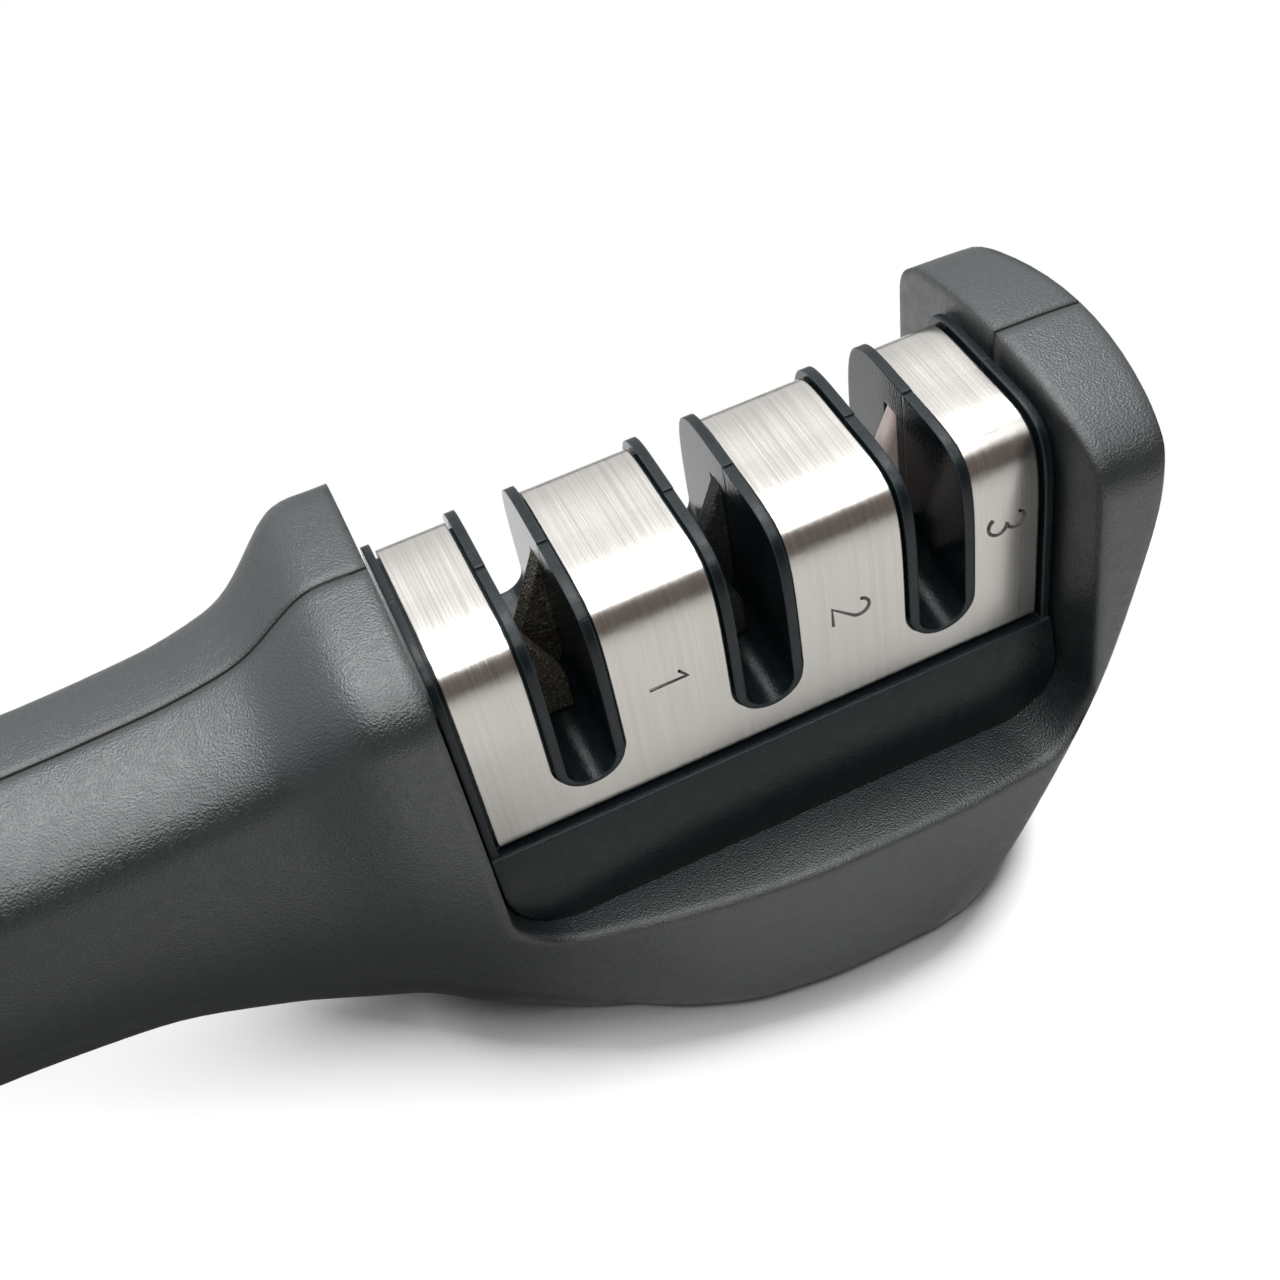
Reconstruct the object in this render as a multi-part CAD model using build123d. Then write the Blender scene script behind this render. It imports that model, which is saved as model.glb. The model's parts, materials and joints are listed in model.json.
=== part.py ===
# Hand-held pull-through knife sharpener with three V-shaped sharpening slots.
#
# Frame, in millimetres: +Z is up and z = 0 is the table under the rubber foot.
# +X runs from the handle to the nose, -Y is the front, where the steel cover's panels are numbered,
# and x = y = 0 is the middle of the steel cover. Both shells and both cartridge halves part at y = 0.

import math
import os

from build123d import *

# Driving dimensions of the body
handle_reach = 157.0
nose_reach = 48.0
hump_height = 66.3
base_half_width = 24.2
shell_wall = 1.8
base_height = 1.0
seam_groove_depth = 0.5
seam_groove_half_width = 0.09

# Saddle-shaped pocket between the hump and the nose, which the cartridge drops into
pocket_half_length = 33.9
pocket_floor_height = 20.4
pocket_corner_radius = 8.0

# Steel cover: one sheet bent over the cartridge like an arch
cover_length = 64.0
cover_half_width = 12.0
cover_base_rise = 13.2
cover_side_rise = 13.6
cover_rise = 26.4
cover_sheet = 0.6

# Sharpening slots and the plastic troughs that line them
slot_count = 3
slot_pitch = 20.35
slot_half_width = 4.15
trough_gap = 0.3
trough_wall = 1.1
trough_floor_rise = 7.7
trough_fall_share = 0.19

# Cartridge halves
trough_floor_wall = 0.4
rear_trough_lip = 0.7
front_trough_lip = 0.5
cheek_lip = 0.7
cover_fit = 0.05
core_wall = 1.4
end_plate_wall = 0.9
end_plate_gap = 0.4
skirt_wall = 1.5
skirt_gap = 0.8
skirt_top_half_width = 13.0
skirt_bottom_half_width = 14.8
skirt_bulge = 0.5
cartridge_seat_gap = 0.3
cartridge_end_gap = 0.5

# Locating posts on the pocket floor
post_spacing = 40.0
post_side = 5.0
post_rise = 4.0
post_fit = 0.25

# Abrasive plates, which cross in a V
plate_thickness = 2.4
plate_spread = 1.6
plate_fit = 0.05
vee_rise = 15.6
vee_offset = -0.4
vee_half_angle = 23.5
plate_top_rise = 23.0
plate_bottom_rise = 7.1
plate_tip_reach = 1.9
plate_tail_reach = 5.6
coarse_edge_radius = 0.2
medium_edge_radius = 0.4
fine_edge_radius = 0.9

# Base plate and rubber foot
base_plate_thickness = 3.0
base_plate_fit = 0.15
foot_thickness = 2.0
foot_inset = 2.8
foot_fit = 0.1

# Shell screws, driven from the rear
screw_shaft_radius = 1.3
screw_head_radius = 2.5
screw_head_height = 1.8
screw_length = 12.0
screw_seat_depth = 5.0
screw_boss_wall = 1.9
screw_fit = 0.05
screw_head_fit = 0.3
drive_radius = 1.1
drive_depth = 0.9

# Base screws, driven upward under the foot
base_screw_shaft_radius = 1.2
base_screw_head_radius = 2.2
base_screw_head_height = 1.2
base_screw_length = 9.0

# Cartridge screws, driven from the rear
cartridge_screw_spacing = 26.0
cartridge_screw_shaft_radius = 1.1
cartridge_screw_head_radius = 2.0
cartridge_screw_head_height = 1.4
cartridge_screw_length = 13.0
cartridge_screw_rise = 6.2
cartridge_screw_recess = 1.2

# How far a cutting tool runs past what it cuts
overrun = 30.0

# Heights above the table that follow from the rises above
cover_base_height = pocket_floor_height + cover_base_rise
trough_floor_height = cover_base_height + trough_floor_rise
vee_height = cover_base_height + vee_rise
plate_top_height = cover_base_height + plate_top_rise
plate_bottom_height = cover_base_height + plate_bottom_rise

# Cross-sections of the body along x. Each row holds: place along the handle's or the nose's reach,
# height of the top and of the bottom as shares of the hump's height, and then, as shares of the
# base's half width, the half width near the top, half way up and near the bottom, the radius of
# the top and of the bottom corner, and how far the top falls from its middle to that corner.
section_shares = [
    (-1.000, 0.748, 0.545, 0.198, 0.231, 0.198, 0.165, 0.165, 0.020),
    (-0.986, 0.833, 0.465, 0.380, 0.413, 0.364, 0.264, 0.264, 0.024),
    (-0.948, 0.881, 0.408, 0.517, 0.545, 0.496, 0.300, 0.314, 0.030),
    (-0.866, 0.900, 0.382, 0.568, 0.595, 0.545, 0.305, 0.331, 0.034),
    (-0.739, 0.902, 0.382, 0.577, 0.603, 0.549, 0.300, 0.331, 0.034),
    (-0.586, 0.890, 0.404, 0.560, 0.584, 0.522, 0.290, 0.314, 0.034),
    (-0.459, 0.886, 0.372, 0.552, 0.575, 0.509, 0.282, 0.314, 0.034),
    (-0.372, 0.893, 0.277, 0.560, 0.585, 0.496, 0.280, 0.314, 0.034),
    (-0.316, 0.915, 0.184, 0.593, 0.628, 0.489, 0.278, 0.314, 0.036),
    (-0.285, 0.953, 0.136, 0.662, 0.680, 0.496, 0.272, 0.314, 0.036),
    (-0.267, 0.994, 0.098, 0.735, 0.727, 0.516, 0.262, 0.298, 0.034),
    (-0.247, 1.000, 0.060, 0.757, 0.740, 0.536, 0.262, 0.298, 0.036),
    (-0.214, 1.000, 0.010, 0.767, 0.760, 0.562, 0.255, 0.264, 0.038),
    (-0.163, 0.999, -0.044, 0.777, 0.806, 0.645, 0.250, 0.198, 0.040),
    (-0.112, 0.995, -0.056, 0.787, 0.844, 0.820, 0.248, 0.132, 0.042),
    (-0.061, 0.989, -0.056, 0.800, 0.883, 0.952, 0.240, 0.099, 0.046),
    (0.033, 0.981, -0.056, 0.816, 0.922, 1.008, 0.230, 0.099, 0.052),
    (0.300, 0.971, -0.056, 0.828, 0.930, 1.002, 0.215, 0.099, 0.056),
    (0.583, 0.963, -0.056, 0.836, 0.900, 0.958, 0.200, 0.099, 0.060),
    (0.833, 0.957, -0.056, 0.836, 0.868, 0.905, 0.190, 0.099, 0.064),
    (1.000, 0.946, -0.056, 0.832, 0.850, 0.870, 0.190, 0.099, 0.070),
]

# The undercut bow of the nose. Each row holds: height as a share of the hump's height, reach of the
# bow as a share of the nose's reach, and half width as a share of the base's half width.
bow_shares = [
    (-0.056, 0.340, 0.975),
    (0.000, 0.425, 0.965),
    (0.109, 0.567, 0.945),
    (0.229, 0.672, 0.914),
    (0.398, 0.790, 0.882),
    (0.543, 0.858, 0.862),
    (0.736, 0.916, 0.855),
    (0.869, 0.928, 0.844),
    (1.038, 0.926, 0.832),
]
station_count = 50
bow_swell_share = 0.165
bow_corner_share = 0.13
bow_flare_share = 0.15

# Places of the shell screws: along the handle's or the nose's reach, and up the hump's height
shell_screw_shares = {
    "handle_end_screw": (-0.86, 0.62),
    "handle_middle_screw": (-0.52, 0.62),
    "hump_screw": (-0.262, 0.62),
    "nose_screw": (0.79, 0.70),
}

# Places of the base screws: along the pocket's half length, and across the base's half width
base_screw_shares = {
    "base_screw_front_left": (-0.50, -0.42),
    "base_screw_rear_left": (-0.50, 0.42),
    "base_screw_front_right": (0.20, -0.62),
    "base_screw_rear_right": (0.20, 0.62),
}


# Body form

def along(share):
    """Distance along x for a share of the handle's reach (negative) or the nose's (positive)."""
    return share * (handle_reach if share < 0 else nose_reach)


def slopes(places, values):
    """Slope at each place of a smooth curve that never swings past its own values."""
    steps = [b - a for a, b in zip(places, places[1:])]
    rises = [(b - a) / step for a, b, step in zip(values, values[1:], steps)]
    inner = []
    for before, after, left, right in zip(rises, rises[1:], steps, steps[1:]):
        if before * after <= 0:
            inner.append(0)
            continue
        near, far = 2 * right + left, right + 2 * left
        inner.append((near + far) / (near / before + far / after))
    return [rises[0]] + inner + [rises[-1]]


def blended_row(x):
    """The section shares at any place along the body, blended between the rows given."""
    places = [along(row[0]) for row in section_shares]
    left = max(i for i in range(len(places) - 1) if places[i] <= x or i == 0)
    step = places[left + 1] - places[left]
    t = (x - places[left]) / step
    blended = []
    for values in list(zip(*section_shares))[1:]:
        slope = slopes(places, values)
        blended.append(
            (2 * t**3 - 3 * t**2 + 1) * values[left]
            + (t**3 - 2 * t**2 + t) * step * slope[left]
            + (3 * t**2 - 2 * t**3) * values[left + 1]
            + (t**3 - t**2) * step * slope[left + 1]
        )
    return blended


def half_section(x, inset):
    """Rear half of the body's cross-section at one place, drawn inside the skin by the inset."""
    top_s, bottom_s, upper_s, middle_s, lower_s, top_r, low_r, fall_s = blended_row(x)
    top = top_s * hump_height - inset
    bottom = bottom_s * hump_height + inset
    upper, middle, lower = (s * base_half_width - inset for s in (upper_s, middle_s, lower_s))
    top_radius = max(top_r * base_half_width - inset, upper / 3)
    low_radius = max(low_r * base_half_width - inset, lower / 9)
    fall = fall_s * base_half_width
    crown = upper - top_radius
    side_top = top - fall - top_radius
    side_foot = bottom + low_radius
    belly = 2 * middle - (upper + lower) / 2
    drop = (side_foot - side_top) / 3
    round_share = 0.6
    reach = round_share * top_radius
    curl = round_share * low_radius
    flat = lower - low_radius
    tilt = 2 * fall / crown
    place = along(section_shares[0][0]) + inset if x == along(section_shares[0][0]) else x

    def curve(*points):
        return Edge.make_bezier(*[Vector(place, y, z) for y, z in points])

    edges = [
        curve((0, top), (crown / 3, top), (2 * crown / 3, top - fall / 3), (crown, top - fall)),
        curve(
            (crown, top - fall), (crown + reach, top - fall - tilt * reach),
            (upper, side_top + reach), (upper, side_top),
        ),
        curve(
            (upper, side_top), ((upper + 2 * belly) / 3, side_top + drop),
            ((lower + 2 * belly) / 3, side_foot - drop), (lower, side_foot),
        ),
        curve((lower, side_foot), (lower, side_foot - curl), (flat + curl, bottom), (flat, bottom)),
        curve((flat, bottom), (flat * 2 / 3, bottom), (flat / 3, bottom), (0, bottom)),
        curve((0, bottom), (0, (2 * bottom + top) / 3), (0, (bottom + 2 * top) / 3), (0, top)),
    ]
    return Face(Wire(edges))


def bow_contour(row, inset):
    """Plan outline, at one height, of the space that the bow of the nose leaves to the body."""
    height_s, reach_s, half_s = row
    z = height_s * hump_height
    tip = reach_s * nose_reach - inset
    half = half_s * base_half_width - inset
    corner = tip - bow_swell_share * half
    far = -handle_reach - overrun
    wide = half + bow_flare_share * (corner - far)
    outline = [
        Line((far, -wide, z), (corner, -half, z)),
        ThreePointArc((corner, -half, z), (tip, 0, z), (corner, half, z)),
        Line((corner, half, z), (far, wide, z)),
        Line((far, wide, z), (far, -wide, z)),
    ]
    face = make_face(outline)
    corners = face.vertices().sort_by(Axis.X)[-2:]
    return fillet(corners, bow_corner_share * base_half_width)


def body_form(inset):
    """Rear half of the whole body as one solid, drawn inside the skin by the inset."""
    start, end = along(section_shares[0][0]), along(section_shares[-1][0])
    places = [start + (end - start) * index / (station_count - 1) for index in range(station_count)]
    bow = loft([bow_contour(row, inset) for row in bow_shares])
    return loft([half_section(x, inset) for x in places]) & bow


def slab(low, high):
    """Everything between two heights, far past the body on every side."""
    reach = handle_reach + overrun
    return Pos(0, 0, (low + high) / 2) * Box(2 * reach, 2 * reach, high - low)


def pocket_space(grow):
    """The pocket, cut right across the body and open upward, and grown by a wall all round."""
    half = pocket_half_length + grow
    floor = pocket_floor_height - grow
    top = hump_height + overrun
    face = make_face(Polyline((-half, top), (-half, floor), (half, floor), (half, top), close=True))
    low = face.vertices().sort_by(Axis.Y)[:2]
    face = fillet(low, pocket_corner_radius + grow)
    return extrude(Plane.XZ * face, base_half_width + overrun, both=True)


def cylinder_y(radius, x, z, start, end):
    """A cylinder along y from one y to another."""
    return Pos(x, (start + end) / 2, z) * Rot(90, 0, 0) * Cylinder(radius, abs(end - start))


def cylinder_z(radius, x, y, start, end):
    """A cylinder along z from one height to another."""
    return Pos(x, y, (start + end) / 2) * Cylinder(radius, abs(end - start))


def screw_places():
    return {name: (along(sx), sz * hump_height) for name, (sx, sz) in shell_screw_shares.items()}


def base_screw_places():
    return {
        name: (sx * pocket_half_length, sy * base_half_width)
        for name, (sx, sy) in base_screw_shares.items()
    }


# Body shells

def shell_blank():
    """Rear shell before its screw holes: skin, pocket walls, bosses and half of each post."""
    skin = body_form(0) & slab(base_height, hump_height + overrun)
    skin = skin - pocket_space(0)
    hollow = body_form(shell_wall) - pocket_space(shell_wall)
    groove = Box(2 * (handle_reach + overrun), 2 * seam_groove_half_width, 2 * hump_height)
    shell = skin - hollow - (groove - body_form(seam_groove_depth))
    boss_radius = screw_shaft_radius + screw_boss_wall
    for x, z in screw_places().values():
        shell = shell + (cylinder_y(boss_radius, x, z, 0, base_half_width + overrun) & skin)
    boss_radius = base_screw_shaft_radius + screw_boss_wall
    boss_foot = base_height + base_plate_thickness
    for x, y in base_screw_places().values():
        if y > 0:
            shell = shell + cylinder_z(boss_radius, x, y, boss_foot, pocket_floor_height - shell_wall)
    for side in (-1, 1):
        post = Box(post_side, post_side / 2, post_rise + shell_wall, align=(Align.CENTER, Align.MIN, Align.MIN))
        shell = shell + Pos(side * post_spacing / 2, 0, pocket_floor_height - shell_wall) * post
    hole = base_screw_shaft_radius + screw_fit
    for x, y in base_screw_places().values():
        if y > 0:
            shell = shell - cylinder_z(hole, x, y, boss_foot, boss_foot + base_screw_length)
    return shell


def rear_body_shell(blank):
    """The shell that the screws enter, with sunk holes for their heads."""
    shell = blank
    for x, z in screw_places().values():
        shell = shell - cylinder_y(screw_shaft_radius + screw_fit, x, z, 0, screw_seat_depth)
        mouth = base_half_width + overrun
        shell = shell - cylinder_y(screw_head_radius + screw_head_fit, x, z, screw_seat_depth, mouth)
    return shell


def front_body_shell(blank):
    """The shell that the screws bite into."""
    shell = mirror(blank, Plane.XZ)
    for x, z in screw_places().values():
        depth = screw_length - screw_seat_depth + screw_head_fit
        shell = shell - cylinder_y(screw_shaft_radius + screw_fit, x, z, 0, -depth)
    return shell


# Base plate and foot

def both_sides(half):
    return half + mirror(half, Plane.XZ)


def base_plate():
    top = base_height + base_plate_thickness
    plate = both_sides(body_form(shell_wall + base_plate_fit) & slab(base_height, top))
    recess = body_form(foot_inset - foot_fit) & slab(base_height - foot_thickness, foot_thickness)
    plate = plate - both_sides(recess)
    head_top = foot_thickness + base_screw_head_height
    for x, y in base_screw_places().values():
        plate = plate - cylinder_z(base_screw_shaft_radius + screw_fit, x, y, 0, top)
        plate = plate - cylinder_z(base_screw_head_radius + screw_fit, x, y, 0, head_top)
    return plate


def rubber_foot():
    return both_sides(body_form(foot_inset) & slab(0, foot_thickness))


# Fasteners

def screw(shaft_radius, head_radius, head_height, length):
    """A pan-head screw along z: its head's underside is at z = 0 and its tip at -length."""
    shaft = Pos(0, 0, -length / 2) * Cylinder(shaft_radius, length)
    shaft = chamfer(shaft.faces().sort_by(Axis.Z)[0].edges(), shaft_radius / 2)
    head = Pos(0, 0, head_height / 2) * Cylinder(head_radius, head_height)
    head = fillet(head.faces().sort_by(Axis.Z)[-1].edges(), head_height / 3)
    arm = drive_radius / 2
    depth = drive_depth * head_height / screw_head_height
    cross = Box(2 * drive_radius, arm, 2 * depth) + Box(arm, 2 * drive_radius, 2 * depth)
    return (shaft + head) - Pos(0, 0, head_height) * cross


def shell_screws():
    body = screw(screw_shaft_radius, screw_head_radius, screw_head_height, screw_length)
    return {
        name: Pos(x, screw_seat_depth, z) * Rot(-90, 0, 0) * body
        for name, (x, z) in screw_places().items()
    }


def base_screws():
    sizes = (base_screw_shaft_radius, base_screw_head_radius, base_screw_head_height, base_screw_length)
    body = screw(*sizes)
    seat = foot_thickness + base_screw_head_height
    return {
        name: Pos(x, y, seat) * Rot(180, 0, 0) * body for name, (x, y) in base_screw_places().items()
    }


# Steel cover

def slot_centres():
    middle = (slot_count - 1) / 2
    return [(index - middle) * slot_pitch for index in range(slot_count)]


def arch(grow, low, length):
    """A solid arch along x with the cover's outer profile grown by a wall, standing on a height."""
    half = cover_half_width + grow
    spring = cover_base_height + cover_side_rise
    top = cover_base_height + cover_rise + grow
    rise = top - spring
    flat_share = 0.848
    stretch_share = 1.08
    near = flat_share * half
    high = spring + stretch_share * rise
    outline = [
        Line((-half, low), (-half, spring)),
        Bezier((-half, spring), (-half, high), (-near, top), (0, top)),
        Bezier((0, top), (near, top), (half, high), (half, spring)),
        Line((half, spring), (half, low)),
        Line((half, low), (-half, low)),
    ]
    return extrude(Plane.YZ * make_face(outline), length / 2, both=True)


def trough_space(centre, half_width, deepen):
    """A round-bottomed channel across the cartridge, whose floor falls towards the front."""
    floor = trough_floor_height - deepen
    top = hump_height + overrun
    middle = floor + half_width
    outline = [
        Line((centre - half_width, top), (centre - half_width, middle)),
        ThreePointArc((centre - half_width, middle), (centre, floor), (centre + half_width, middle)),
        Line((centre + half_width, middle), (centre + half_width, top)),
        Line((centre + half_width, top), (centre - half_width, top)),
    ]
    face = Plane.XZ * make_face(outline)
    run = cover_half_width + overrun
    rear = extrude(face, run, dir=(0, 1, trough_fall_share))
    front = extrude(face, run, dir=(0, -1, -trough_fall_share))
    return rear + front


def steel_cover():
    cover = arch(0, cover_base_height, cover_length)
    cover = cover - arch(-cover_sheet, cover_base_height - overrun, cover_length + overrun)
    for centre in slot_centres():
        cover = cover - trough_space(centre, slot_half_width, trough_wall + trough_gap)
    return cover


# Cartridge halves

def skirt_form(inset, top):
    """The cartridge's lower box with swelling sides and rounded lower corners, inside the skin."""
    half_length = pocket_half_length - cartridge_end_gap - inset
    floor = pocket_floor_height + cartridge_seat_gap + inset
    high = skirt_top_half_width - inset
    low = skirt_bottom_half_width - inset
    middle = (high + low) / 2 + skirt_bulge
    side = [
        Line((-low, floor), (low, floor)),
        ThreePointArc((low, floor), (middle, (floor + top) / 2), (high, top)),
        Line((high, top), (-high, top)),
        ThreePointArc((-high, top), (-middle, (floor + top) / 2), (-low, floor)),
    ]
    across = extrude(Plane.YZ * make_face(side), half_length, both=True)
    corner = pocket_corner_radius - cartridge_end_gap - inset
    lengthwise = make_face(
        Polyline(
            (-half_length, top), (-half_length, floor), (half_length, floor), (half_length, top),
            close=True,
        )
    )
    lengthwise = fillet(lengthwise.vertices().sort_by(Axis.Y)[:2], corner)
    return across & extrude(Plane.XZ * lengthwise, skirt_bottom_half_width + overrun, both=True)


def side_space(side):
    """Everything on one side of the parting plane."""
    reach = handle_reach + overrun
    return Pos(0, side * reach / 2, 0) * Box(2 * reach, reach, 2 * reach)


def cartridge_screw_places():
    height = pocket_floor_height + cartridge_screw_rise
    return [(offset * cartridge_screw_spacing, height) for offset in (-1, 0, 1)]


def cartridge_half(side):
    """One moulded half: skirt, core behind the steel, end plates, troughs and screw bosses."""
    skirt_top = cover_base_height - skirt_gap
    skirt = skirt_form(0, skirt_top)
    plate_inner = cover_length / 2 + end_plate_gap
    plate_outer = plate_inner + end_plate_wall
    core_low = pocket_floor_height + skirt_wall
    core = arch(-cover_sheet - cover_fit, core_low, 2 * plate_inner) & skirt_form(0, hump_height)
    hollow = arch(-cover_sheet - cover_fit - core_wall, core_low, 2 * plate_inner)
    hollow = hollow + skirt_form(skirt_wall, skirt_top - skirt_wall)
    half = (skirt + core) - (hollow & skirt_form(skirt_wall, hump_height))
    half = half - arch(-cover_sheet - cover_fit - core_wall, skirt_top - skirt_wall, 2 * plate_inner)
    cheek_low = pocket_floor_height + pocket_corner_radius
    cheeks = arch(cheek_lip, cheek_low, 2 * plate_outer) - arch(cheek_lip, cheek_low, 2 * plate_inner)
    half = half + cheeks
    outer_half_width = slot_half_width - trough_gap
    inner_half_width = outer_half_width - trough_wall
    lip = rear_trough_lip if side > 0 else front_trough_lip
    rim = arch(lip, cover_base_height, cover_length)
    for centre in slot_centres():
        half = half + (trough_space(centre, outer_half_width, trough_wall) & rim)
    boss_radius = cartridge_screw_shaft_radius + screw_boss_wall
    for x, z in cartridge_screw_places():
        reach = skirt_bottom_half_width
        half = half + (cylinder_y(boss_radius, x, z, -reach, reach) & skirt)
    for centre in slot_centres():
        half = half - trough_space(centre, inner_half_width, trough_wall - trough_floor_wall)
    half = half & side_space(side)
    for centre in slot_centres():
        half = half - abrasive_plate(centre, side, plate_fit, 0)
    for place in (-1, 1):
        socket = Box(post_side + 2 * post_fit, post_side + 2 * post_fit, overrun)
        half = half - Pos(place * post_spacing / 2, 0, core_low - overrun / 2 + skirt_wall) * socket
    return half


def drill_cartridge(half, side):
    """Screw holes: through and sunk in the rear half, blind in the front half."""
    seat = skirt_bottom_half_width - skirt_wall - cartridge_screw_recess
    tip = cartridge_screw_length - seat + screw_head_fit
    hole = cartridge_screw_shaft_radius + screw_fit
    for x, z in cartridge_screw_places():
        if side > 0:
            half = half - cylinder_y(hole, x, z, 0, seat)
            mouth = seat + overrun
            half = half - cylinder_y(cartridge_screw_head_radius + screw_head_fit, x, z, seat, mouth)
        else:
            half = half - cylinder_y(hole, x, z, 0, -tip)
    return half


def cartridge_screws():
    sizes = (
        cartridge_screw_shaft_radius, cartridge_screw_head_radius,
        cartridge_screw_head_height, cartridge_screw_length,
    )
    body = screw(*sizes)
    seat = skirt_bottom_half_width - skirt_wall - cartridge_screw_recess
    names = ("cartridge_screw_left", "cartridge_screw_middle", "cartridge_screw_right")
    return {
        name: Pos(x, seat, z) * Rot(-90, 0, 0) * body
        for name, (x, z) in zip(names, cartridge_screw_places())
    }


# Abrasive plates

def abrasive_plate(centre, side, grow, edge_radius):
    """One plate of a crossing pair. The rear one leans right and comes out of the right wall."""
    lean = math.tan(math.radians(vee_half_angle))
    tip_height = vee_height - plate_tip_reach / lean
    top_reach = (plate_top_height - vee_height) * lean
    points = [
        (-plate_tip_reach, plate_bottom_height - grow),
        (-plate_tip_reach, tip_height),
        (top_reach, plate_top_height + grow),
        (plate_tail_reach + grow, plate_top_height + grow),
        (plate_tail_reach + grow, plate_bottom_height - grow),
    ]
    if grow:
        points[0] = (-plate_tip_reach - grow, plate_bottom_height - grow)
        points[1] = (-plate_tip_reach - grow, tip_height)
        points[2] = (top_reach - grow, plate_top_height + grow)
    middle = centre + vee_offset
    outline = Polyline(*[(middle + side * x, z) for x, z in points], close=True)
    face = make_face(outline)
    if edge_radius:
        tip = face.vertices().sort_by_distance((middle - side * plate_tip_reach, tip_height))[:1]
        face = fillet(tip, edge_radius)
    start = plate_spread - grow
    end = plate_spread + plate_thickness + grow
    plate = extrude(Plane.XZ.offset(-side * start) * face, (end - start), dir=(0, side, 0))
    if edge_radius:
        lean_edges = [e for e in plate.edges() if e.length > plate_top_height - vee_height]
        lean_edges = [e for e in lean_edges if abs(e.tangent_at(0).Z) < 1 - lean / 100]
        plate = fillet([e for e in lean_edges if abs(e.tangent_at(0).Z) > lean], edge_radius)
    return plate


def abrasive_plates():
    stages = (
        ("coarse", coarse_edge_radius), ("medium", medium_edge_radius), ("fine", fine_edge_radius),
    )
    plates = {}
    for centre, (stage, radius) in zip(slot_centres(), stages):
        plates[stage + "_rear_plate"] = abrasive_plate(centre, 1, 0, radius)
        plates[stage + "_front_plate"] = abrasive_plate(centre, -1, 0, radius)
    return plates


# All pieces

def all_pieces():
    blank = shell_blank()
    pieces = {
        "front_body_shell": front_body_shell(blank),
        "rear_body_shell": rear_body_shell(blank),
        "base_plate": base_plate(),
        "rubber_foot": rubber_foot(),
        "steel_cover": steel_cover(),
        "cartridge_front_half": drill_cartridge(cartridge_half(-1), -1),
        "cartridge_rear_half": drill_cartridge(cartridge_half(1), 1),
    }
    pieces.update(shell_screws())
    pieces.update(base_screws())
    pieces.update(cartridge_screws())
    pieces.update(abrasive_plates())
    return pieces


os.makedirs("parts", exist_ok=True)
for piece_name, piece in all_pieces().items():
    export_step(piece, "parts/" + piece_name + ".step")
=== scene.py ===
import json
import math

import bpy
from mathutils import Matrix, Vector


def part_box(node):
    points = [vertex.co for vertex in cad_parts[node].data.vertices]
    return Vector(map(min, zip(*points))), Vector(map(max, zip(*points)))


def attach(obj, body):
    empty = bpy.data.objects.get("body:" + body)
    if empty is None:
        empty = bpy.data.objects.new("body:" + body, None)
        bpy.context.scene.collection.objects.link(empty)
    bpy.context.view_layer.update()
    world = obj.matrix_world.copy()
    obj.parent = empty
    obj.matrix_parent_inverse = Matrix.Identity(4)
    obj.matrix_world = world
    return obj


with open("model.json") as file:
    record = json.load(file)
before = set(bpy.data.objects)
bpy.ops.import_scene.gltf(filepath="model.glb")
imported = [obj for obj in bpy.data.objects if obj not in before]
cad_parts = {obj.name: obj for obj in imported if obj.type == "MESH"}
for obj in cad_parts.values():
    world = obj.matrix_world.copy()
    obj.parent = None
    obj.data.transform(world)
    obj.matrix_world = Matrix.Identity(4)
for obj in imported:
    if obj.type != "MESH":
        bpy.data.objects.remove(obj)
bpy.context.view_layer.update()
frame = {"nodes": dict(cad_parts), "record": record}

NODES = frame["nodes"]
SCENE = bpy.context.scene
SCENE.view_settings.view_transform = "Standard"
SCENE.view_settings.look = "None"


# Camera, solved from the photograph's straight edges

RIGHT = Vector((0.90776, -0.39411, -0.14369))
UP = Vector((0.38623, 0.65159, 0.65288))
LOOK = Vector((0.16368, 0.64816, -0.74371))
EYE = Vector((-0.039916, -0.120698, 0.179810))

camera = bpy.data.cameras.new("camera")
camera.sensor_width = 36
camera.lens = 48.783
camera.clip_start = 0.005
camera_object = bpy.data.objects.new("camera", camera)
rotation = Matrix((RIGHT, UP, -LOOK)).transposed().to_4x4()
camera_object.matrix_world = Matrix.Translation(EYE) @ rotation
SCENE.collection.objects.link(camera_object)
SCENE.camera = camera_object


# Node helpers

# Sockets of a colour Mix node
MIX_INPUTS = (0, 6, 7)
MIX_OUTPUT = 2

# Most of a noise texture's values lie between these
NOISE_LOW, NOISE_HIGH = 0.3, 0.7

EDGE_SAMPLES = 6


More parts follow.
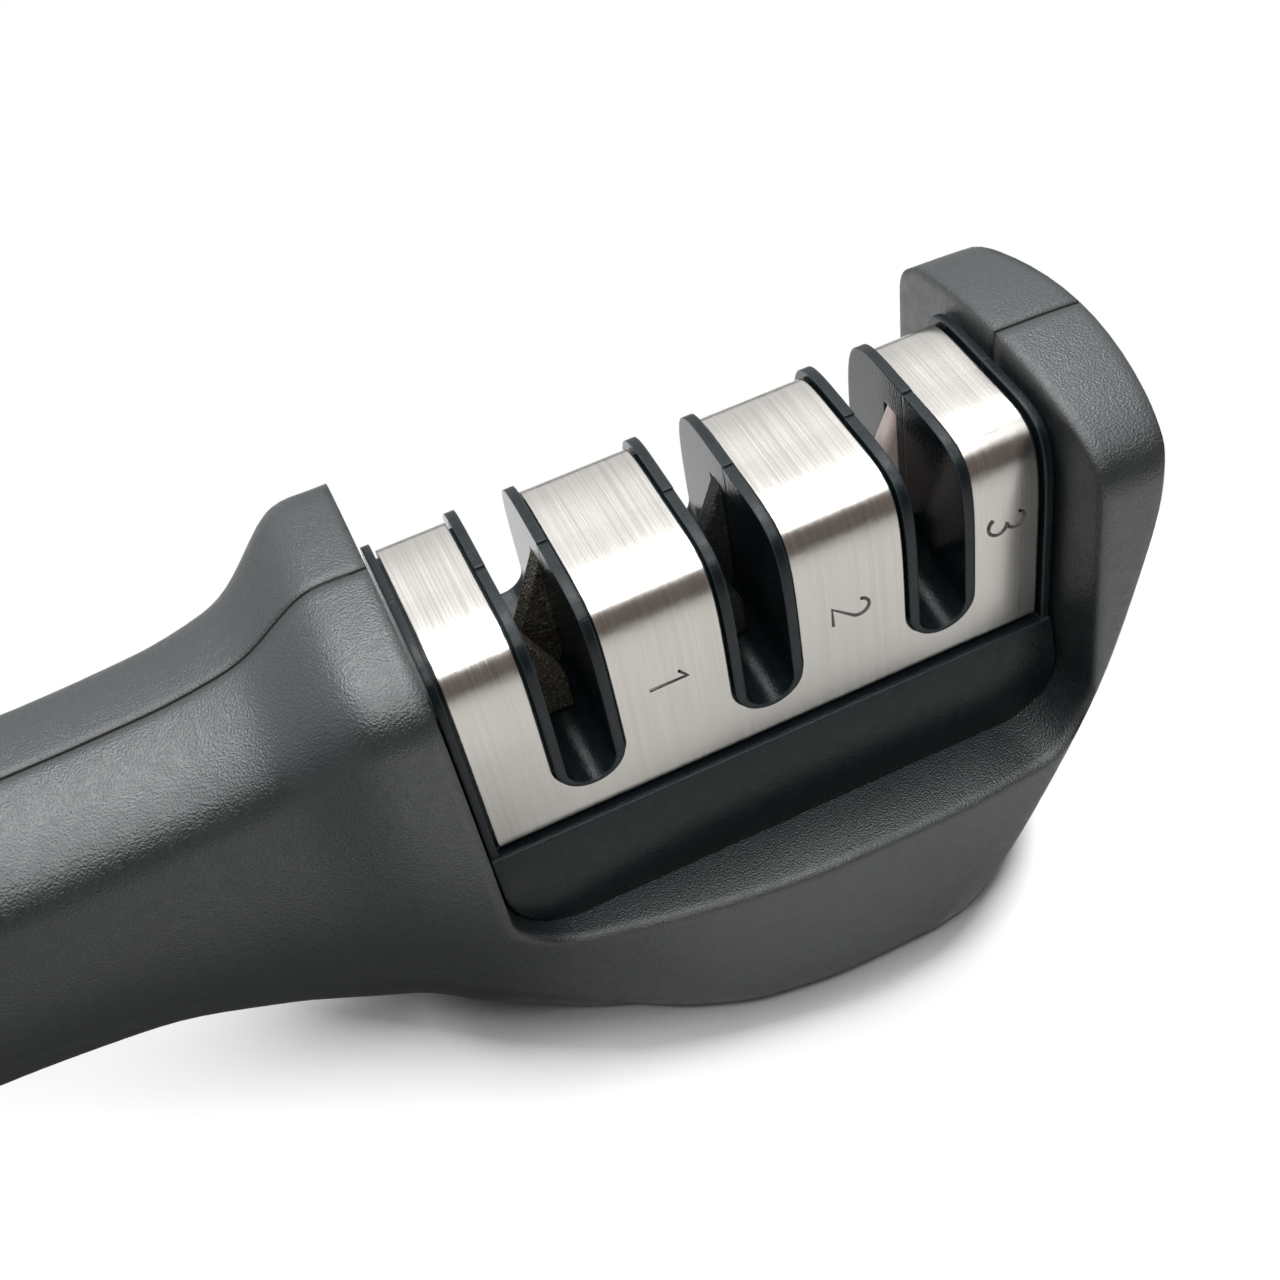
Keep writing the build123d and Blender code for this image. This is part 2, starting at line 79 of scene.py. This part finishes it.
class Tree:
    """Short ways to add and link shader nodes."""

    def __init__(self, tree):
        self.tree = tree
        tree.nodes.clear()

    def fill(self, socket, value):
        if isinstance(value, bpy.types.NodeSocket):
            self.tree.links.new(value, socket)
        else:
            socket.default_value = value

    def add(self, kind, inputs=None, **settings):
        node = self.tree.nodes.new(kind)
        for name, value in settings.items():
            setattr(node, name, value)
        for name, value in (inputs or {}).items():
            self.fill(node.inputs[name], value)
        return node

    def place(self, scale=(1, 1, 1)):
        """Object coordinates in metres, stretched."""
        coords = self.add("ShaderNodeTexCoord").outputs["Object"]
        mapping = self.add("ShaderNodeMapping", {"Vector": coords, "Scale": scale})
        return mapping.outputs["Vector"]

    def axes(self, vector):
        return self.add("ShaderNodeSeparateXYZ", {"Vector": vector}).outputs

    def facing(self):
        """The surface's own normal, without bump or rounding."""
        return self.add("ShaderNodeNewGeometry").outputs["Normal"]

    def noise(self, scale, detail=2.0, rough=0.5, stretch=(1, 1, 1)):
        node = self.add(
            "ShaderNodeTexNoise",
            {"Vector": self.place(stretch), "Scale": scale, "Detail": detail, "Roughness": rough},
        )
        return node.outputs["Fac"]

    def cells(self, scale):
        node = self.add("ShaderNodeTexVoronoi", {"Vector": self.place(), "Scale": scale})
        return node.outputs["Distance"]

    def calc(self, operation, *values):
        return self.add("ShaderNodeMath", dict(enumerate(values)), operation=operation).outputs[0]

    def vector_calc(self, operation, *values):
        return self.add("ShaderNodeVectorMath", dict(enumerate(values)), operation=operation).outputs

    def span(self, value, low, high, to_low, to_high):
        inputs = {
            "Value": value, "From Min": low, "From Max": high, "To Min": to_low, "To Max": to_high,
        }
        return self.add("ShaderNodeMapRange", inputs).outputs["Result"]

    def spread(self, noise, to_low=0.0, to_high=1.0):
        """A noise texture's values spread over a range."""
        return self.span(noise, NOISE_LOW, NOISE_HIGH, to_low, to_high)

    def tint(self, factor, first, second):
        node = self.add("ShaderNodeMix", data_type="RGBA")
        for index, value in zip(MIX_INPUTS, (factor, first, second)):
            self.fill(node.inputs[index], (*value, 1) if isinstance(value, tuple) else value)
        return node.outputs[MIX_OUTPUT]

    def bump(self, height, strength, distance, under=None):
        inputs = {"Height": height, "Strength": strength, "Distance": distance}
        if under is not None:
            inputs["Normal"] = under
        return self.add("ShaderNodeBump", inputs).outputs["Normal"]

    def edges(self, radius):
        """Normals rounded over sharp edges."""
        return self.add("ShaderNodeBevel", {"Radius": radius}, samples=EDGE_SAMPLES).outputs["Normal"]

    def blend(self, factor, first, second):
        return self.add("ShaderNodeMixShader", {0: factor, 1: first, 2: second}).outputs[0]

    def show(self, shader, kind="ShaderNodeOutputMaterial"):
        self.tree.links.new(shader, self.add(kind).inputs["Surface"])

    def surface(self, **inputs):
        self.show(self.add("ShaderNodeBsdfPrincipled", inputs).outputs[0])


def material(name):
    made = bpy.data.materials.new(name)
    made.use_nodes = True
    return made, Tree(made.node_tree)


def shade(colour, share):
    return tuple(c * share for c in colour)


def grey(value):
    return (value, value, value)


# Materials

# The parting line between the body shells: dark up to the first distance from y = 0, gone at the second
LINE_INNER, LINE_OUTER = 0.00017, 0.00030
LINE_SHADE = 0.05

CLOUD_SCALE = 45
CLOUD_SHADES = (0.92, 1.08)
PAINTED_GLINT_SHADE = 2.6
SMUDGE_SCALE = 700


def moulded(
    name, colour, rough, shine, grain, grain_size, edge, sparkle,
    painted_rim_highlight=None, wall_rough=None, parting=False,
):
    """Spark-eroded moulded plastic: pebbled skin, faint cloudiness and painted glints, lighter specks
    in the base colour.

    A painted rim highlight lightens the edges in the base colour, a wall roughness polishes the faces
    along x, and parting draws the line where two shells meet.
    """
    made, t = material(name)
    cloud = t.noise(CLOUD_SCALE, 4, 0.55)
    painted_glint = t.noise(1.6 / grain_size, 1, 0.5)
    rounded = t.edges(edge)
    flat = t.facing()
    dark, light = (shade(colour, share) for share in CLOUD_SHADES)
    base = t.tint(t.span(cloud, 0.35, 0.65, 0.0, 1.0), dark, light)
    # Painted glints: specks lightened in the base colour.
    base = t.tint(t.span(painted_glint, 0.58, 0.70, 0.0, sparkle), base, shade(colour, PAINTED_GLINT_SHADE))
    # Painted highlight: the edges are lightened in the base colour, standing in for sheen from above.
    if painted_rim_highlight:
        alike = t.vector_calc("DOT_PRODUCT", rounded, flat)["Value"]
        base = t.tint(t.span(alike, 0.99, 0.90, 0.0, 0.8), base, shade(colour, painted_rim_highlight))
    pebbles = t.noise(1 / grain_size, 1, 0.5)
    normal = t.bump(pebbles, grain, grain_size * 0.5, rounded)
    gloss = t.spread(t.noise(SMUDGE_SCALE, 3, 0.6), rough - 0.06, rough + 0.08)
    if wall_rough:
        across = t.calc("ABSOLUTE", t.axes(flat)["X"])
        gloss = t.span(across, 0.75, 0.92, gloss, wall_rough)
    if parting:
        off = t.calc("ABSOLUTE", t.axes(t.place())["Y"])
        line = t.span(off, LINE_INNER, LINE_OUTER, 1.0, 0.0)
        base = t.tint(line, base, shade(colour, LINE_SHADE))
        gloss = t.span(line, 0.0, 1.0, gloss, 1.0)
    t.surface(**{"Base Color": base, "Roughness": gloss, "Normal": normal, "Specular IOR Level": shine})
    return made


def brushed(name):
    """Sheet steel with its grain running round the bend."""
    made, t = material(name)
    fine = t.noise(1, 3, 0.6, (5200, 45, 45))
    broad = t.noise(1, 2, 0.5, (1500, 20, 20))
    smear = t.noise(110, 3, 0.5)
    base = t.tint(t.spread(fine), (0.452, 0.434, 0.400), (0.530, 0.513, 0.480))
    base = t.tint(t.span(broad, 0.45, 0.7, 0.0, 0.06), base, (0.40, 0.385, 0.36))
    gloss = t.span(fine, 0.25, 0.75, 0.18, 0.24)
    gloss = t.calc("ADD", gloss, t.spread(smear, -0.010, 0.016))
    normal = t.bump(fine, 0.05, 0.000012, t.edges(0.0002))
    tangent = t.add("ShaderNodeTangent", direction_type="RADIAL", axis="X").outputs[0]
    t.surface(**{
        "Base Color": base, "Metallic": 1.0, "Roughness": gloss, "Normal": normal,
        "Anisotropic": 0.5, "Tangent": tangent,
    })
    return made


def plated(name):
    """Zinc-plated screw steel, lightly turned."""
    made, t = material(name)
    base = t.tint(t.spread(t.noise(900, 4, 0.6)), (0.46, 0.46, 0.45), (0.62, 0.62, 0.60))
    gloss = t.spread(t.noise(2400, 3, 0.6), 0.28, 0.46)
    normal = t.bump(t.noise(3500, 3, 0.6), 0.15, 0.00003, t.edges(0.00015))
    t.surface(**{"Base Color": base, "Metallic": 1.0, "Roughness": gloss, "Normal": normal})
    return made


def rubbery(name):
    """Matt black rubber."""
    made, t = material(name)
    base = t.tint(t.spread(t.noise(120, 4, 0.6)), (0.016, 0.016, 0.017), (0.030, 0.030, 0.031))
    normal = t.bump(t.noise(2600, 3, 0.6), 0.35, 0.00008)
    gloss = t.spread(t.noise(500, 3, 0.6), 0.72, 0.88)
    t.surface(**{"Base Color": base, "Roughness": gloss, "Normal": normal, "Specular IOR Level": 0.35})
    return made


def gritty(name, dark, light, grit, metal, rough):
    """Abrasive grains bonded to a plate."""
    made, t = material(name)
    grains = t.cells(1 / grit)
    patches = t.noise(0.45 / grit, 3, 0.7)
    glint = t.noise(0.9 / grit, 1, 0.5)
    base = t.tint(t.span(patches, 0.38, 0.62, 0.0, 1.0), dark, light)
    # Painted glints: bright grain specks in the base colour.
    base = t.tint(t.span(glint, 0.60, 0.68, 0.0, 0.9), base, shade(light, 3.0))
    normal = t.bump(grains, 1.0, grit * 0.6)
    gloss = t.spread(patches, rough - 0.08, rough + 0.1)
    t.surface(**{"Base Color": base, "Metallic": metal, "Roughness": gloss, "Normal": normal})
    return made


def ceramic(name):
    """Pale fired ceramic with darker specks."""
    made, t = material(name)
    cloud = t.noise(350, 4, 0.6)
    base = t.tint(t.span(cloud, 0.35, 0.65, 0.0, 1.0), (0.72, 0.60, 0.56), (0.80, 0.71, 0.68))
    base = t.tint(t.span(t.noise(2600, 2, 0.5), 0.60, 0.72, 0.0, 0.45), base, (0.42, 0.36, 0.34))
    normal = t.bump(t.noise(4500, 3, 0.6), 0.25, 0.00003, t.edges(0.0002))
    t.surface(**{
        "Base Color": base, "Roughness": t.spread(cloud, 0.42, 0.6), "Normal": normal,
        "Subsurface Weight": 0.12, "Subsurface Scale": 0.0008,
    })
    return made


def engraved(name):
    """The rough, darkened bottom of an engraved stroke."""
    made, t = material(name)
    base = t.tint(t.spread(t.noise(2500, 3, 0.6)), (0.09, 0.085, 0.08), (0.20, 0.19, 0.18))
    gloss = t.spread(t.noise(1800, 3, 0.6), 0.45, 0.65)
    normal = t.bump(t.noise(6000, 3, 0.6), 0.3, 0.00002)
    t.surface(**{"Base Color": base, "Metallic": 0.9, "Roughness": gloss, "Normal": normal})
    return made


FINISHES = {
    "body_plastic": moulded(
        "body_plastic", (0.0136, 0.0180, 0.0197), rough=0.36, shine=0.82, grain=0.7,
        grain_size=0.00024, edge=0.0020, sparkle=0.8, parting=True,
    ),
    "cartridge_plastic": moulded(
        "cartridge_plastic", (0.0058, 0.0095, 0.0112), rough=0.31, shine=0.26, grain=0.22,
        grain_size=0.00030, edge=0.0004, sparkle=0.3, painted_rim_highlight=5.5, wall_rough=0.12,
    ),
    "base_plastic": moulded(
        "base_plastic", (0.014, 0.0145, 0.015), rough=0.50, shine=0.35, grain=0.35,
        grain_size=0.00040, edge=0.0003, sparkle=0.2,
    ),
    "cover_steel": brushed("cover_steel"),
    "screw_steel": plated("screw_steel"),
    "foot_rubber": rubbery("foot_rubber"),
    "coarse_abrasive": gritty(
        "coarse_abrasive", (0.030, 0.026, 0.019), (0.090, 0.082, 0.060),
        grit=0.00030, metal=0.15, rough=0.50,
    ),
    "medium_abrasive": gritty(
        "medium_abrasive", (0.022, 0.024, 0.025), (0.060, 0.062, 0.064),
        grit=0.00018, metal=0.45, rough=0.42,
    ),
    "fine_ceramic": ceramic("fine_ceramic"),
}
NUMBER = engraved("number_engraving")

for part in frame["record"]["subparts"]:
    node = NODES[part["node"]]
    node.data.materials.clear()
    node.data.materials.append(FINISHES[part["material_slot"]])


# Stage numbers, engraved on the panel to the right of each slot

DIGIT_HEIGHT = 0.0042
STROKE_RADIUS = 0.00021
STROKE_STEPS = 2

# How far behind the panel's face the middle of a stroke lies
STROKE_DEPTH = 0.00005


def arc(centre, radius, start, end, steps):
    points = []
    for i in range(steps + 1):
        a = math.radians(start + (end - start) * i / steps)
        points.append((centre[0] + radius[0] * math.cos(a), centre[1] + radius[1] * math.sin(a)))
    return points


# Strokes of each number, one unit high
DIGITS = {
    "1": [[(-0.22, 0.30), (0.04, 0.5), (0.04, -0.5)]],
    "2": [arc((0, 0.22), (0.27, 0.28), 165, -35, 12) + [(-0.29, -0.5), (0.30, -0.5)]],
    "3": [arc((0, 0.25), (0.25, 0.25), 150, -90, 12) + arc((0, -0.24), (0.29, 0.26), 85, -150, 14)],
}


def digit(text, x, y, z):
    """A number lying on its side, read from the handle's end."""
    name = "stage_number_" + text
    curve = bpy.data.curves.new(name, "CURVE")
    curve.dimensions = "3D"
    curve.bevel_depth = STROKE_RADIUS
    curve.bevel_resolution = STROKE_STEPS
    for stroke in DIGITS[text]:
        spline = curve.splines.new("POLY")
        spline.points.add(len(stroke) - 1)
        for point, (u, v) in zip(spline.points, stroke):
            point.co = (x + v * DIGIT_HEIGHT, y, z - u * DIGIT_HEIGHT, 1)
    made = bpy.data.objects.new(name, curve)
    SCENE.collection.objects.link(made)
    made.data.materials.append(NUMBER)
    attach(made, "cartridge")


cover_low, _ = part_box("steel_cover")
for text, x, z in (("1", -0.0105, 0.0475), ("2", 0.0100, 0.0465), ("3", 0.0282, 0.0495)):
    digit(text, x, cover_low.y + STROKE_DEPTH, z)


# Floor, which fades to white beyond the object's shadow

FLOOR_HALF = 3.0

# Distance from the middle of the shadow, counted in an ellipse's own units
SHADOW_STRETCH = (12.5, 22.0, 0.0)
SHADOW_SHIFT = (0.24, 0.10, 0.0)
SHADOW_FADE = (0.62, 1.30)

# Painted shadow edge: where the shadow is cut off to white on the floor in front of the object, as (x,
# y), and the box round those points
SHADOW_RIM = (
    (-0.100, 0.018), (-0.074, 0.004), (-0.051, -0.010), (-0.030, -0.022), (-0.008, -0.0285),
    (0.005, -0.030), (0.021, -0.024), (0.036, -0.005), (0.050, 0.010),
)
RIM_X = (-0.10, 0.05)
RIM_Y = (-0.04, 0.02)

# The shadow's front edge is this wide at each of these x, and its width changes evenly between them
RIM_SOFT_X = (-0.075, -0.025)
RIM_SOFT = (0.020, 0.005)

# Painted contact shadow: the floor's colour is darker where the object comes this close to it
CONTACT_REACH = 0.008
CONTACT_SAMPLES = 8


def share_of(value, limits):
    low, high = limits
    return (value - low) / (high - low)


def shadow_fade(t, away, x, y):
    """0 in the object's shadow, 1 on the white floor round it. The shade inside is cast by the lamps,
    but its edge in front is a painted shadow edge along SHADOW_RIM.
    """
    rim = t.add("ShaderNodeFloatCurve", {"Value": t.span(x, *RIM_X, 0.0, 1.0)})
    curve = rim.mapping.curves[0]
    shares = [(share_of(px, RIM_X), share_of(py, RIM_Y)) for px, py in SHADOW_RIM]
    curve.points[0].location, curve.points[1].location = shares[0], shares[-1]
    for share in shares[1:-1]:
        curve.points.new(*share)
    rim.mapping.update()
    limit = t.span(rim.outputs[0], 0.0, 1.0, *RIM_Y)
    ahead = t.calc("DIVIDE", t.calc("SUBTRACT", limit, y), t.span(x, *RIM_SOFT_X, *RIM_SOFT))
    return t.calc("MAXIMUM", t.span(away, *SHADOW_FADE, 0.0, 1.0), t.span(ahead, -0.5, 0.5, 0.0, 1.0))


def mirrored_floor(t, away, x, y):
    """The floor's colour in reflections, with painted shade: darker far away, round the handle and
    under the object.
    """
    colour = t.tint(t.span(away, 2.5, 8.0, 0.0, 1.0), grey(0.82), (0.20, 0.19, 0.18))
    colour = t.tint(t.span(x, -0.100, -0.045, 1.0, 0.0), colour, grey(0.45))
    middle = t.calc("ABSOLUTE", t.calc("ADD", y, 0.010))
    under = t.span(x, -0.040, -0.015, t.span(middle, 0.030, 0.045, 1.0, 0.0), 0.0)
    return t.tint(under, colour, grey(0.22))


def flat_floor():
    mesh = bpy.data.meshes.new("floor")
    corners = [(-1, -1), (1, -1), (1, 1), (-1, 1)]
    mesh.from_pydata([(FLOOR_HALF * x, FLOOR_HALF * y, 0) for x, y in corners], [], [(0, 1, 2, 3)])
    floor = bpy.data.objects.new("floor", mesh)
    SCENE.collection.objects.link(floor)
    made, t = material("floor_paper")
    path = t.add("ShaderNodeLightPath").outputs
    fibre = t.spread(t.noise(300, 3, 0.6))
    away = t.vector_calc("ADD", t.place(SHADOW_STRETCH), SHADOW_SHIFT)[0]
    away = t.vector_calc("LENGTH", away)["Value"]
    spot = t.axes(t.place())
    # Reflections see the floor with mirrored_floor's painted shade; bounce light sees it at 0.30.
    base = t.tint(path["Is Glossy Ray"], grey(0.30), mirrored_floor(t, away, spot["X"], spot["Y"]))
    # Painted contact shadow: the camera's floor colour darkens to 0.24 close under the object.
    painted_contact_shadow = t.add("ShaderNodeAmbientOcclusion", {"Distance": CONTACT_REACH}, samples=CONTACT_SAMPLES)
    plain = t.tint(fibre, grey(0.90), grey(0.93))
    plain = t.tint(t.span(painted_contact_shadow.outputs["AO"], 0.45, 0.95, 0.0, 1.0), grey(0.24), plain)
    base = t.tint(path["Is Camera Ray"], base, plain)
    paper = t.add("ShaderNodeBsdfDiffuse", {"Color": base}).outputs[0]
    white = t.add("ShaderNodeEmission", {"Color": (1, 1, 1, 1), "Strength": 1.0}).outputs[0]
    # Painted shadow edge: beyond the rim and the ellipse the camera sees plain white.
    fade = t.calc("MULTIPLY", shadow_fade(t, away, spot["X"], spot["Y"]), path["Is Camera Ray"])
    t.show(t.blend(fade, paper, white))
    mesh.materials.append(made)


flat_floor()


# World: a studio that is bright above and behind, and dark low down in front

LOW_FRONT = (0.180, 0.148, 0.132)
LOW_BACK = (0.96, 0.97, 0.98)
HIGH = (0.95, 0.97, 1.0)
SOFT_STRENGTH = 0.16
MIRRORED_STRENGTH = 1.15

world = bpy.data.worlds.new("studio")
world.use_nodes = True
SCENE.world = world
t = Tree(world.node_tree)
axes = t.axes(t.add("ShaderNodeTexCoord").outputs["Generated"])
low = t.tint(t.span(axes["Y"], -0.50, 0.15, 0.0, 1.0), LOW_FRONT, LOW_BACK)
sky = t.tint(t.span(axes["Z"], 0.62, 0.95, 0.0, 1.0), low, HIGH)
soft = t.add("ShaderNodeBackground", {"Color": sky, "Strength": SOFT_STRENGTH}).outputs[0]
seen = t.add("ShaderNodeBackground", {"Color": sky, "Strength": MIRRORED_STRENGTH}).outputs[0]
white = t.add("ShaderNodeBackground", {"Color": (1, 1, 1, 1), "Strength": 1.0}).outputs[0]
path = t.add("ShaderNodeLightPath").outputs
lit = t.blend(path["Is Glossy Ray"], soft, seen)
t.show(t.blend(path["Is Camera Ray"], lit, white), "ShaderNodeOutputWorld")


# Lights

def area(name, place, target, size, power):
    light = bpy.data.lights.new(name, "AREA")
    light.shape = "RECTANGLE"
    light.size, light.size_y = size
    light.energy = power
    made = bpy.data.objects.new(name, light)
    made.location = place
    made.rotation_mode = "QUATERNION"
    made.rotation_quaternion = (Vector(target) - Vector(place)).to_track_quat("-Z", "Y")
    SCENE.collection.objects.link(made)


area("top_softbox", (-0.05, 0.36, 0.95), (-0.05, 0.0, 0.05), size=(1.15, 0.45), power=10.5)
area("front_softbox", (-0.08, -0.35, 0.97), (-0.08, -0.15, 0.0), size=(1.0, 0.60), power=6.6)
